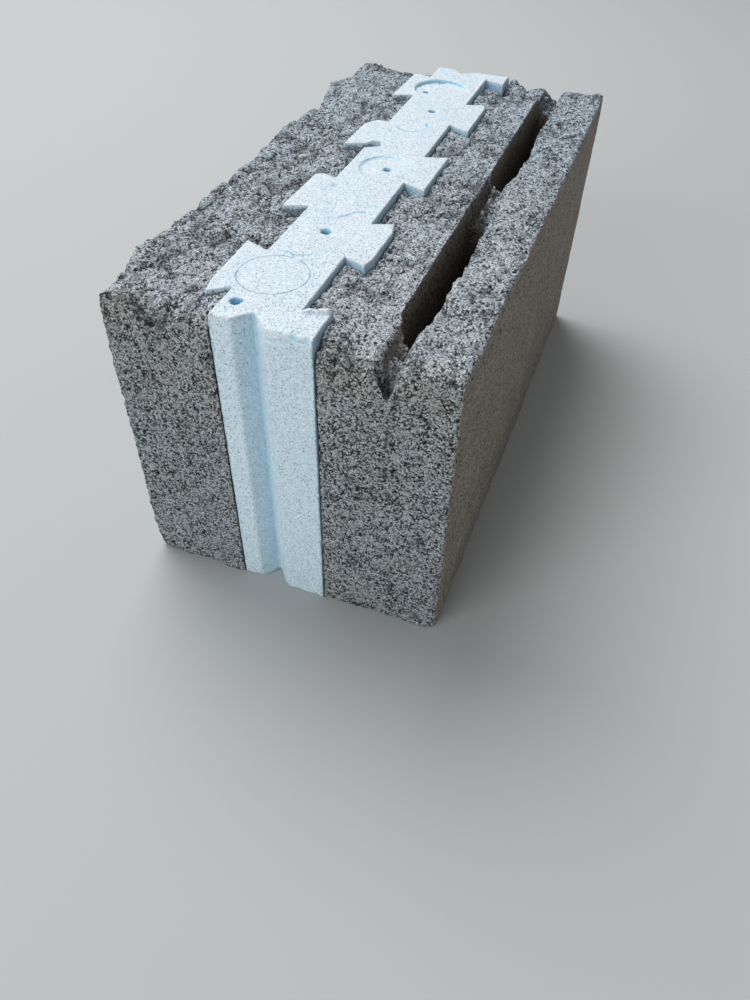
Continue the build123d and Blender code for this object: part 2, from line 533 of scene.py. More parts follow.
def piled_clods(xy, heights, seed, stretch):
    """Clods of four sizes piled up: their height about its mean, and how deep in a crease a point is, which
    sets the painted shade there.
    """
    p = flat(xy)
    height = np.zeros(len(p))
    creases = []
    across = 0.87 * p[:, 0] - 0.5 * p[:, 1]
    along = (0.5 * p[:, 0] + 0.87 * p[:, 1]) / stretch
    turned = flat(np.column_stack([across, along]))
    for k, (size, rise) in enumerate(zip(CLOD_SIZES, heights)):
        clod, crease = clods(turned, size, seed + 10 * k)
        height += rise * (clod - CLOD_MEAN)
        creases.append(crease)
    openness = np.clip(0.6 + 1.2 * waves(p, 17, seed + 50), 0.1, 1)
    wide = openness * (0.7 * creases[0] + 0.9 * creases[1])
    return height - 0.9 * wide - 0.4 * creases[2], np.clip(wide + 0.3 * creases[2], 0, 1)


def hollow_depth(xy, hollows, seed):
    """Depth of the listed hollows, with uneven outlines."""
    x = xy[:, 0] + 1.6 * waves(flat(xy), 5, seed)
    y = xy[:, 1] + 2.2 * waves(flat(xy), 6, seed + 1)
    depth = np.zeros(len(xy))
    for cx, cy, half_x, half_y, deep in hollows:
        r2 = ((x - cx) / half_x) ** 2 + ((y - cy) / half_y) ** 2
        depth = np.maximum(depth, deep * np.exp(-(r2**1.3)))
    return depth


def end_drop(x, y, near_drop, far_drop, seed):
    """How far the top falls towards the two ends, where the arris has crumbled."""
    p = np.column_stack([x, 0 * x, 0 * x])
    rough = 0.85 + 0.45 * waves(p, 9, seed) + 0.3 * waves(p, 3.5, seed + 1)
    near = np.interp(x, *near_drop) * rough * bell(y + END_Y, 7)
    return near + np.interp(x, *far_drop) * bell(END_Y - y, 6)


def solid_top(xy, beside):
    """Height of the solid leaf's top over its CAD face, and how much painted shade a point gets in a crease
    or hollow.
    """
    x, y = xy.T
    p = flat(xy)
    turned = np.column_stack([x * 0.94 + y * 0.34, (y * 0.94 - x * 0.34) / 3, 0 * x])
    ridges = 1 - 2 * np.abs(layered(turned, 15, 5, 2))
    pile, crevice = piled_clods(xy, SOLID_CLODS, 11, 1.5)
    height = pile + 0.9 * layered(p, 48, 3) + 1.2 * ridges - 0.6
    height -= hollow_depth(xy, SOLID_HOLLOWS, 61)
    height -= end_drop(x, y, SOLID_NEAR_DROP, SOLID_FAR_DROP, 51)
    height += 0.9 * np.interp(y, *OUTER_EDGE) * np.exp(-np.maximum(x + SIDE_X, 0) / 10)
    height += 1.8 * bell(np.hypot(x + 41, y + 180), 6)
    height -= 1.2 * bell(x + SIDE_X, 2) + 0.5 * bell(beside, 1)
    return np.clip(height, -16, 4.2), crevice


def wall_bend(xy):
    """How far each place is pushed along x, so that the near slot tapers at its near end."""
    x, y = xy.T
    taper = np.clip((-y - 153) / 12, 0, 1) * (1 - step_up(-y, 172, 184))
    return WALL_BEND * taper * step_up(x, 48, SLOT_INNER_X) * (1 - np.clip((x - SLOT_INNER_X) / 12.5, 0, 1))


def off_arris(x, y):
    """How far a place lies outside the top arris of the slots' inner wall."""
    return x - SLOT_INNER_X - ARRIS_BEND * step_up(-y, 153, 162)


def round_spot(x, y, half_width):
    """1 in the middle of a round spot, and nearly 0 beyond its edge."""
    return np.exp(-((np.hypot(x, y) / half_width) ** 3))


def crumb_share(x, y, sign):
    """How much each point lies on one of the webs' crumbs, or with sign -1 in one of their pits."""
    share = np.zeros(len(x))
    for cx, cy, half_width, rise in WEB_CRUMBS:
        if sign * rise > 0:
            share = np.maximum(share, round_spot(x - cx, y - cy, half_width))
    return share


def web_drop(x, y):
    """How far the webs' broken tops lie below the leaf's top."""
    total = np.zeros(len(x))
    for (near, far), (start, end) in zip((NEAR_WEB, MIDDLE_WEB, FAR_WEB), WEB_ENDS.values()):
        share = np.clip((y - start) / (end - start), 0, 1)
        depth = np.interp(x, WEB_ACROSS, near) * (1 - share) + np.interp(x, WEB_ACROSS, far) * share
        total += depth * step_up(y, start - 8, start - 2) * (1 - step_up(y, end + 2, end + 8))
    for cx, cy, half_width, rise in WEB_CRUMBS:
        total -= rise * round_spot(x - cx, y - cy, half_width)
    return total


def cast_share(x, y):
    """How much a place on a web lies on the smooth wall that the core bar cast, by the inner edge."""
    along = (1 - step_up(y, 14, 20)) * step_up(y, -190, -184)
    off = off_arris(x, y)
    width = 2.2 + 3.0 * step_up(-y, 150, 160) * step_up(y, -182, -172)
    share = along * step_up(off, -1, 0) * (1 - step_up(off, width, width + 1.6))
    return share * step_up(web_drop(x, y), 0.4, 1.2)


def slotted_top(xy, beside):
    """Height of the slotted leaf's top over its CAD face, and how much painted shade a point gets in a
    crease or hollow, on the broken webs and on the cast wall.
    """
    x, y = xy.T
    p = flat(xy)
    pile, crevice = piled_clods(xy, SLOTTED_CLODS, 111, 1.15)
    height = pile + 0.8 * layered(p, 55, 103) - 0.3
    height -= hollow_depth(xy, SLOTTED_HOLLOWS, 163)
    height *= 1 - 0.75 * bell(np.abs(off_arris(x, y)), 3.5) * step_up(END_Y - np.abs(y), 2, 12)
    height -= end_drop(x, y, SLOTTED_NEAR_DROP, SLOTTED_FAR_DROP, 151)
    height -= 0.9 * bell(SIDE_X - x, 2) + 0.6 * bell(beside, 1.5)
    over = step_up(web_drop(x, y), 1, 5) * (1 - cast_share(x, y))
    crumbs = 2.4 * (waves(p, 6, 171) + 0.7 * waves(p, 2.6, 173))
    height -= web_drop(x + 0.7 * waves(p, 5, 161) * over, y) + over * crumbs
    # Painted shade on the broken webs, least on their crumbs and most in their pits, and on the smooth cast
    # wall by the inner edge.
    web_shade = over * (0.3 + 0.25 * crumbs) * (1 - crumb_share(x, y, 1)) + 0.95 * crumb_share(x, y, -1)
    web_shade += 0.7 * cast_share(x, y)
    return np.clip(height, -26, 3.4), np.clip(crevice * (1 - cast_share(x, y)) + web_shade, 0, 1)


def open_texture(p, seed):
    """Outward relief of an open-pored face, and how deep in a pore a point is, which sets the painted shade
    there.
    """
    patchy = np.clip(0.7 + 1.1 * waves(p, 16, seed + 50), 0, 1.3)
    large = pits(p, 4.6, seed + 30, 0.16) * patchy
    small = pits(p, 2.4, seed + 40, 0.26) * np.clip(patchy, 0.3, 1)
    broad, crease = clods(p, 6.0, seed + 10)
    narrow = clods(p, 2.4, seed + 20)[0]
    relief = 0.4 * layered(p, 16, seed) + 0.7 * (broad - CLOD_MEAN) + 0.6 * (narrow - CLOD_MEAN)
    relief -= 1.8 * large + 0.9 * small + 0.3 * crease * patchy
    return relief, np.clip(0.95 * large + 0.5 * small + 0.25 * crease * patchy, 0, 1)


def pressed_texture(p, seed):
    """Outward relief of a pressed face with a few pores, and how deep in a pore a point is, which sets the
    painted shade there.
    """
    small = pits(p, 3.2, seed + 30, 0.2)
    return 0.3 * layered(p, 34, seed) + 0.1 * layered(p, 5, seed + 5) - 0.7 * small, small


def wall_relief(share, p, below, side, seed):
    """Outward relief of all the leaf's walls, and how much painted shade a point gets in its pores, down the
    slots and along the joints.
    """
    end, flank, slot, joint = (share[kind] for kind in ("end", "side", "slot", "joint"))
    open_relief, open_pore = open_texture(p, seed)
    pressed_relief, pressed_pore = pressed_texture(p, seed + 200)
    relief = end * open_relief
    pore = end * open_pore
    if side > 0:
        relief += flank * pressed_relief
        pore += flank * 0.6 * pressed_pore
    else:
        edge = 0.7 * np.interp(p[:, 1], *OUTER_EDGE) * np.exp(-below / 12)
        relief += flank * (0.9 * layered(p, 30, seed + 210) + 0.4 + 1.1 * open_relief + edge)
        pore += flank * open_pore
    relief += slot * (0.25 * layered(p, 12, seed + 300) - SLOT_DRAFT * p[:, 2] / LEAF_HEIGHT)
    # Painted shade: the slot walls darken further down the slot, and the joints against the insert are
    # painted dark as a shaded gap.
    pore += slot * (0.35 + 0.4 * step_up(below, 2, 24)) + joint * 0.8
    outer_slot_wall = slot * (p[:, 0] > SLOT_X) * np.exp(-below / 14)
    steps = np.where(
        p[:, 1] < 0,
        SLOT_EDGE_X + SLOT_DRAFT - np.interp(p[:, 1], *SHELL_EDGE),
        1.3 * np.round(1.4 * waves(p * [0, 1, 0], 19, seed + 305)),
    )
    relief += outer_slot_wall * steps

    # Crumbled top edges, foot and corners, and the ragged line against the insert
    along = p * [1, 1, 0]
    crumble = np.clip(0.45 + 0.6 * waves(along, 7, seed + 400) + 0.5 * waves(p, 3, seed + 420), 0, 1.3)
    relief -= end * 1.6 * crumble * np.exp(-below / 4)
    relief -= flank * (0.8 if side > 0 else 1.0) * crumble * np.exp(-below / 2.5)
    relief -= outer_slot_wall * crumble * np.exp(-below / 3)
    off_end = END_Y - np.abs(p[:, 1])
    ragged = 0.5 + 0.9 * waves(p, 5, seed + 450) + 0.5 * waves(p, 2.4, seed + 460)
    ragged = (0.8 * np.exp(-off_end / 7) + 1.7 * np.exp(-off_end / 2)) * np.clip(ragged, 0.3, 1.4)
    ragged *= 1.1 if side > 0 else 0.5
    relief -= joint * (0.15 + 0.9 * crumble * np.exp(-below / 6) + ragged)
    foot = np.clip(0.7 + waves(along, 11, seed + 430), 0, 2)
    relief -= (end + flank) * foot * np.exp(-p[:, 2] / 2.5)
    off_corner = np.clip(SIDE_X - np.abs(p[:, 0]), 0, 6) + np.clip(END_Y - np.abs(p[:, 1]), 0, 6)
    relief -= np.exp(-off_corner / 2) * np.clip(0.5 + 1.1 * waves(p, 8, seed + 440), 0, 1.6)
    off_foot_corner = np.maximum(SIDE_X - side * p[:, 0], 0) + np.maximum(p[:, 1] + END_Y, 0) + p[:, 2]
    relief -= (5.0 if side < 0 else 3.5) * np.exp(-off_foot_corner / 5)
    return relief, pore


def shape_leaf(skin, lines, side, top, seed):
    """Moves a leaf's vertices to its rough faces, and gives each one's numbers for the material."""
    walls, caps = skin.wall_part, skin.cap_part
    share = {kind: skin.wall_share(kind) for kind in LEAF_SPACING}
    moved = skin.place.copy()
    moved[:, 0] += wall_bend(moved[:, :2])
    # The first of these numbers is painted shade: it darkens the colour in the tops' creases and hollows, in
    # the walls' pores, down the slots, along the joints and on the webs.
    painted_shade, pressed = np.zeros((2, len(moved)))
    plan = moved[:skin.top_end, :2].copy()
    rise, top_painted_shade = top(plan, distance_to(plan, lines))
    cast = cast_share(*plan.T)
    p = moved[walls].copy()
    below = LEAF_HEIGHT - p[:, 2]
    p[:, 2] += rise[walls] * step_up(p[:, 2], LEAF_HEIGHT * 0.8, LEAF_HEIGHT)
    relief, pore = wall_relief(share, p, below, side, seed)
    shift = skin.outward * relief[:, None]
    moved[walls] = p
    moved[walls, :2] += shift
    painted_shade[walls] = np.where(below < 0.01, top_painted_shade[walls], pore)
    pressed[walls] = share["slot"] + 0.4 * share["joint"] + (share["side"] if side > 0 else 0)
    pressed[walls] *= step_up(below, 0, 4)
    pressed[walls] = np.maximum(pressed[walls], cast[walls] * (1 - step_up(below, 2, 6)))
    painted_shade[caps] = top_painted_shade[caps]
    pressed[caps] = cast[caps]
    moved[caps, 2] += rise[caps]
    moved[caps, :2] += skin.carry_inwards(shift, 4.0)
    return moved, {"painted_shade": painted_shade, "pressed": pressed}


def make_leaf(node, side, top, seed, extra=()):
    loops = plan_loops(node)
    kind = leaf_kind(side)
    joint_lines = [(a, b) for a, b in sides_of(loops) if kind((a + b) / 2, outward_of(a, b)) == "joint"]
    steps = (TOP_STEP, LEAF_BED_STEP)
    skin = Skin(loops, LEAF_HEIGHT, kind, LEAF_SPACING, LEAF_ROWS, steps, seed, extra)
    moved, numbers = shape_leaf(skin, joint_lines, side, top, seed)
    piece = skin.build(node + "_rough", moved, numbers)
    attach(piece, "root")
    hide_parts(node)
    return piece


solid_leaf = make_leaf("solid_leaf", side=-1, top=solid_top, seed=1000)
cast_wall_points = beside_lines(CAST_WALL_LINES, 0.7, (-1.2, -0.6, 0, 0.6, 1.2))
slotted_leaf = make_leaf("slotted_leaf", side=1, top=slotted_top, seed=2000, extra=cast_wall_points)


# Foam insert

FOAM_SPACING = {"end": 1.2, "joint": 1.2}
FOAM_ROWS = {
    "end": level_shares(14, 0.9, 1.5, FOAM_HEIGHT),
    "joint": level_shares(9, 0.9, 60, FOAM_HEIGHT),
}
FOAM_MIDDLE_X = (FOAM_LOW.x + FOAM_HIGH.x) / 2

# Filler marks as place, depth, heading of the deeper side in degrees, extra depth there and wall width
FILLER_RADIUS = 19.5
FILLER_MARKS = [
    ((-20.75, -146.5), 0.08, 200, 0.1, 0.4),
    ((-7.75, -2.5), 0.5, 145, 0.8, 2.4),
    ((-18.75, 145.5), 1.4, 122, 1.7, 1.3),
]
EJECTOR_RADIUS = 11.0
EJECTOR_MARKS = [((-17.75, -66.5), 0.2, 330, 0.25, 0.8), ((-16.75, 71.5), 0.3, 315, 0.55, 0.7)]

# A mark whose floor lies deeper than this is torn
DEEP_MARK = 1.0

# Pin holes as x, y and radius
PIN_HOLES = [(-26.5, -177.5, 3.3), (-12.5, -94, 2.9), (-8.2, -3, 2.6), (-11, 100, 2.7), (-28, 139, 2.6)]
PIN_HOLE_DEPTH = 6.0

# Fine lines and cracks in the top as half width, depth, how torn they look, which also sets their painted
# shade, and the points they run through
CRACKS = [
    (1.5, 0.5, 0.12, arc((-19, -147), 22.5, 115, 190)),
    (0.45, 0.6, 1.2, [(-28, -124), (-22, -122.5), (-18, -126), (-13.5, -124), (-9, -121)]),
    (0.7, 1.1, 1.0, [(-18, -77.5), (-12.5, -76), (-8.5, -70), (-5, -66), (0, -63.5)]),
    (0.45, 0.6, 0.9, [(-20, -59), (-18.5, -66), (-18.5, -72)]),
    (0.65, 1.0, 1.5, arc((-16.5, 70.5), 11, 225, 400)),
    (0.45, 0.6, 0.7, arc((-7.75, -2.5), 19, 120, 205)),
]

# The near filler mark's ring shows only as a thin dark line
RING_LINE = arc((-20, -147.5), 19.7, 110, 470)
RING_HALF_WIDTH = 0.32

# Torn places in the top as x, y, radius and depth
TORN_PLACES = [
    (-30.5, -38, 2.4, 1.6), (-23.5, -60.5, 1.9, 1.3), (-20, -47.5, 1.2, 1.0), (-27, 56, 1.7, 1.2),
    (-40, 46, 1.5, 0.8), (-9, 23.5, 1.1, 0.9), (-21, 21, 1.3, 0.8), (-33.5, -45, 1.4, 0.9),
    (21, 12, 1.3, 0.8), (14, -195.5, 3.5, 1.4), (-13.5, -124, 1.3, 1.0), (-12, -154, 1.1, 0.6),
    (18, -176, 1.1, 0.9), (-28, -186, 2.2, 0.8), (1, -55, 4.0, 0.5), (20, -195.5, 2.5, 1.0),
    (-31, -196, 2.5, 1.4), (-22.5, -195, 2.0, 1.0), (-13, -9, 1.2, 0.5), (10, -13, 1.0, 0.7),
]

# Ridge of flash along the near half tooth's far flank
FLASH_RIDGE = ((9.0, -175.5), (22.3, -170.2))


def foam_kind(middle, outward):
    """The insert's ends are seen whole, and the rest of its walls only near the top."""
    at_end = abs(middle[1]) > END_Y - 12 and abs(middle[0] - FOAM_MIDDLE_X) < 40
    return "end" if at_end and abs(outward[1]) > 0.3 else "joint"


def mark_rings():
    """Rings of points that keep the marks' and holes' edges crisp."""
    circles = [(mark[0], FILLER_RADIUS + off, 150) for mark in FILLER_MARKS for off in (-0.35, 0.35)]
    circles += [(mark[0], EJECTOR_RADIUS + off, 90) for mark in EJECTOR_MARKS for off in (-0.35, 0.35)]
    circles += [((x, y), radius + off, 30) for x, y, radius in PIN_HOLES for off in (-0.5, 0, 0.5)]
    rings = []
    for centre, radius, count in circles:
        angle = np.arange(count) * 2 * math.pi / count
        rings.append(centre + radius * np.stack([np.cos(angle), np.sin(angle)], axis=1))
    rings.append(beside_lines([points for *_, points in CRACKS], 0.6, (-0.9, -0.45, 0, 0.45, 0.9)))
    rings.append(beside_lines([RING_LINE], 0.5, (-0.45, -0.2, 0, 0.2, 0.45)))
    return np.concatenate(rings)


def mark_depth(x, y, mark, radius):
    """Depth of a round mark whose floor is tilted, and how much a point lies on its wall."""
    (cx, cy), sink, heading, tilt, wall = mark
    r = np.hypot(x - cx, y - cy)
    turn = math.radians(heading)
    lean = ((x - cx) * math.cos(turn) + (y - cy) * math.sin(turn)) / radius
    share = 1 - step_up(r, radius - wall, radius + 0.3)
    depth = np.maximum(sink + tilt * lean, 0)
    return depth * share, np.clip(depth * 4 * share * (1 - share), 0, 1)


def foam_top(xy):
    """Height of the insert's top over its CAD face, how much painted bluish shade a torn or sunk point gets,
    and the ring's line.
    """
    x, y = xy.T
    p = flat(xy)
    height = 0.35 * layered(p, 40, 501) + 0.12 * layered(p, 6, 502) + 0.07 * waves(p, 2.2, 503) - 0.4
    # This number is painted bluish shade: on the marks' walls, in the pin holes, along the cracks and in the
    # torn places.
    recess_shade = np.zeros(len(xy))
    for marks, radius in ((FILLER_MARKS, FILLER_RADIUS), (EJECTOR_MARKS, EJECTOR_RADIUS)):
        for mark in marks:
            is_torn = mark[1] > DEEP_MARK
            torn = 1 + 0.25 * is_torn * waves(p, 3, 504)
            depth, wall = mark_depth(x, y, mark, radius * (1 + 0.02 * torn * is_torn))
            height -= depth * torn
            recess_shade = np.maximum(recess_shade, np.clip(0.55 * wall * (0.4 + depth), 0, 1))
    for cx, cy, radius in PIN_HOLES:
        uneven = 0.2 * waves(p, 2.2, 505) + 0.15 * waves(p, 1.1, 520)
        r = np.hypot(x - cx, y - cy) + radius * uneven
        hole = 1 - step_up(r, radius - 0.7, radius + 0.2)
        height -= PIN_HOLE_DEPTH * hole + 0.5 * np.exp(-((r / radius) ** 4) / 5)
        recess_shade = np.maximum(recess_shade, 1 - step_up(r, radius - 0.2, radius + 0.8))
    wander = np.column_stack([waves(p, 4, 506), waves(p, 4, 507)])
    for half_width, depth, torn, points in CRACKS:
        line = soft_line(xy + 0.25 * wander, points, half_width)
        line = line * np.clip(0.85 + 0.6 * waves(p, 5, 508), 0.35, 1)
        height -= depth * line
        recess_shade = np.maximum(recess_shade, np.minimum(torn * line, 1))
    ring = soft_line(xy + 0.1 * wander, RING_LINE, RING_HALF_WIDTH)
    ring = ring * np.clip(0.9 + 0.5 * waves(p, 5, 521), 0.5, 1)
    height -= 0.35 * ring
    for cx, cy, radius, depth in TORN_PLACES:
        r = np.hypot(x - cx, y - cy) + 0.7 * radius * waves(p, 1.8, 509)
        hole = 1 - step_up(r, 0.35 * radius, radius)
        height -= depth * hole * (0.7 + 0.5 * waves(p, 1.5, 510))
        recess_shade = np.maximum(recess_shade, 0.6 * min(depth, 1) * hole)
    off_ridge = distance_to(xy + 0.35 * wander, [FLASH_RIDGE])
    height += 2.0 * (1 - step_up(off_ridge, 0.9, 1.7)) * np.clip(1 + 0.4 * waves(p, 3, 511), 0.6, 1.3)
    for gap in (y - FOAM_LOW.y, FOAM_HIGH.y - y):
        height -= 2.0 * np.exp(-np.maximum(gap, 0) / 1.8)
    return height, recess_shade, ring


def make_foam():
    loops = plan_loops("foam_insert")
    steps = (TOP_STEP, FOAM_BED_STEP)
    skin = Skin(loops, FOAM_HEIGHT, foam_kind, FOAM_SPACING, FOAM_ROWS, steps, seed=3000, extra=mark_rings())
    walls, caps = skin.wall_part, skin.cap_part
    p = skin.place[walls]
    end = skin.wall_share("end")
    below = FOAM_HEIGHT - p[:, 2]
    relief = end * (0.3 * layered(p, 25, 511) + 0.12 * layered(p, 4, 512) + 0.08 * waves(p, 2.2, 513) - 0.2)
    relief -= end * (1.4 * np.exp(-below / 2.0) + 0.5 * pits(p, 3.0, 514, 0.12))
    relief += end * 0.12 * np.sin(p[:, 2] / 1.4) * bell(p[:, 2] - 12, 26)
    relief -= (1 - end) * (0.3 * np.exp(-below / 1.0) + 0.25 * np.clip(waves(p, 2.4, 515), 0, 1))
    relief -= end * (1 - end) * 2.4 * np.clip(waves(p, 3.2, 516), 0, 1)
    relief -= end * np.exp(-p[:, 2] / 2.5) * np.clip(0.5 + waves(p * [1, 1, 0], 6, 517), 0, 1.4)
    shift = skin.outward * relief[:, None]
    rise, top_recess_shade, top_ring = foam_top(skin.place[:skin.top_end, :2])
    moved = skin.place.copy()
    moved[walls, :2] += shift
    moved[walls, 2] += rise[walls] * step_up(p[:, 2], FOAM_HEIGHT - 9, FOAM_HEIGHT)
    moved[caps, 2] += rise[caps]
    moved[caps, :2] += skin.carry_inwards(shift, 3.0)
    recess_shade, ring = np.zeros((2, len(moved)))
    recess_shade[caps] = top_recess_shade[caps]
    ring[caps] = top_ring[caps]
    off_middle = p[:, 0] - FOAM_MIDDLE_X
    # Painted bluish shade on the joint walls below the top and in the end's groove.
    groove = step_up(off_middle, -11, 0) * bell(off_middle - 1, 1.5) * end
    wall_recess_shade = 0.55 * (1 - end) * step_up(below, 0, 3) + 0.42 * groove
    recess_shade[walls] = np.where(below < 0.01, top_recess_shade[walls], wall_recess_shade)
    piece = skin.build("foam_insert_moulded", moved, {"recess_shade": recess_shade, "ring": ring})
    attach(piece, "root")
    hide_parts("foam_insert")
    return piece


foam = make_foam()


# Materials, in millimetres of the block's own frame

class Nodes:
    """Short ways to add and join shader nodes."""

    def __init__(self, name):
        self.material = bpy.data.materials.new(name)
        self.material.use_nodes = True
        self.tree = self.material.node_tree
        self.shader = self.tree.nodes["Principled BSDF"]
        place = self.add("TexCoord").outputs["Object"]
        self.place = self.scaled(place, 1 / MM)

    def add(self, kind, *values, **settings):
        """A new node with these settings, and with these values at its first inputs."""
        node = self.tree.nodes.new("ShaderNode" + kind)
        for name, setting in settings.items():
            setattr(node, name, setting)
        for value, socket in zip(values, node.inputs):
            self.join(value, socket)
        return node

    def join(self, value, socket):
        if isinstance(value, bpy.types.NodeSocket):
            self.tree.links.new(value, socket)
        elif isinstance(value, tuple) and len(value) == 3 and socket.type == "RGBA":
            socket.default_value = (*value, 1)
        else:
            socket.default_value = value

    def scaled(self, value, scale):
        node = self.add("VectorMath", value, operation="SCALE")
        node.inputs["Scale"].default_value = scale
        return node.outputs[0]

    def shifted(self, value, by):
        return self.add("VectorMath", value, by, operation="ADD").outputs[0]

    def math(self, operation, a, b=0.0):
        return self.add("Math", a, b, operation=operation).outputs[0]

    def product(self, a, b):
        return self.math("MULTIPLY", a, b)

    def total(self, a, b):
        return self.math("ADD", a, b)

    def ramp(self, value, low, high, out_low=0.0, out_high=1.0):
        """Goes from out_low where the value is low to out_high where it is high."""
        return self.add("MapRange", value, low, high, out_low, out_high).outputs[0]

    def noise(self, size, detail=2.0, roughness=0.55, offset=0.0, output="Fac"):
        node = self.add("TexNoise", self.shifted(self.place, (offset, offset, offset)))
        node.inputs["Scale"].default_value = 1 / size
        node.inputs["Detail"].default_value = detail
        node.inputs["Roughness"].default_value = roughness
        return node.outputs[output]

    def uneven_place(self, size, reach):
        """The place pushed about by fine noise, which gives uneven edges."""
        push = self.scaled(self.noise(size, 1.0, 0.5, 7.0, "Color"), 2 * reach)
        return self.shifted(self.shifted(self.place, push), (-reach, -reach, -reach))

    def cells(self, size, place=None, feature="F1"):
        node = self.add("TexVoronoi", place or self.place, feature=feature)
        node.inputs["Scale"].default_value = 1 / size
        return node

    def attribute(self, name):
        return self.add("Attribute", attribute_name=name).outputs["Fac"]

    def mix(self, share, a, b, blend="MIX"):
        node = self.add("Mix", share, data_type="RGBA", blend_type=blend)
        self.join(a, node.inputs[6])
        self.join(b, node.inputs[7])
        return node.outputs[2]

    def times(self, colour, value):
        """The colour made brighter or darker by a number."""
        grey = self.add("CombineXYZ", value, value, value).outputs[0]
        return self.mix(1.0, colour, grey, "MULTIPLY")

    def parts(self, value):
        """The three parts of a place, a direction or a colour."""
        return self.add("SeparateXYZ", value).outputs

    def picks(self, cells):
        """Three random numbers from 0 to 1 for each cell."""
        return self.parts(cells.outputs["Color"])

    def bump(self, height, distance_mm, strength=1.0):
        node = self.add("Bump")
        node.inputs["Strength"].default_value = strength
        node.inputs["Distance"].default_value = distance_mm * MM
        self.join(height, node.inputs["Height"])
        return node.outputs[0]

    def tinted(self, share, colour, tint):
        """The colour multiplied by a tint, to a share of its full strength."""
        return self.mix(share, colour, self.mix(1.0, colour, tint, "MULTIPLY"))

    def finish(self, colour, roughness, normal=None, specular=0.5):
        self.join(colour, self.shader.inputs["Base Color"])
        self.join(roughness, self.shader.inputs["Roughness"])
        self.join(specular, self.shader.inputs["Specular IOR Level"])
        if normal:
            self.join(normal, self.shader.inputs["Normal"])
        return self.material


# Colours of the open cement and of the smooth cast skin, with the painted shade of their hollows and pores,
# and cell sizes
CEMENT_NEAR = (0.385, 0.406, 0.43)
CEMENT_FAR = (0.358, 0.403, 0.449)
CEMENT_WARM = (0.36, 0.362, 0.36)
SKIN_DARK = (0.29, 0.25, 0.21)
SKIN_PALE = (0.34, 0.3, 0.25)
DUST_TINT = (0.98, 0.9, 0.76)
CEMENT_HOLLOW_SHADE = (0.045, 0.048, 0.052)
SKIN_HOLLOW_SHADE = (0.03, 0.027, 0.025)
CEMENT_PORE_SHADE = (0.014, 0.014, 0.015)
SKIN_PORE_SHADE = (0.05, 0.042, 0.034)
GRAIN_SIZE = 1.1
PORE_SIZE = 1.5
CONCRETE_ROUGHNESS = 0.92


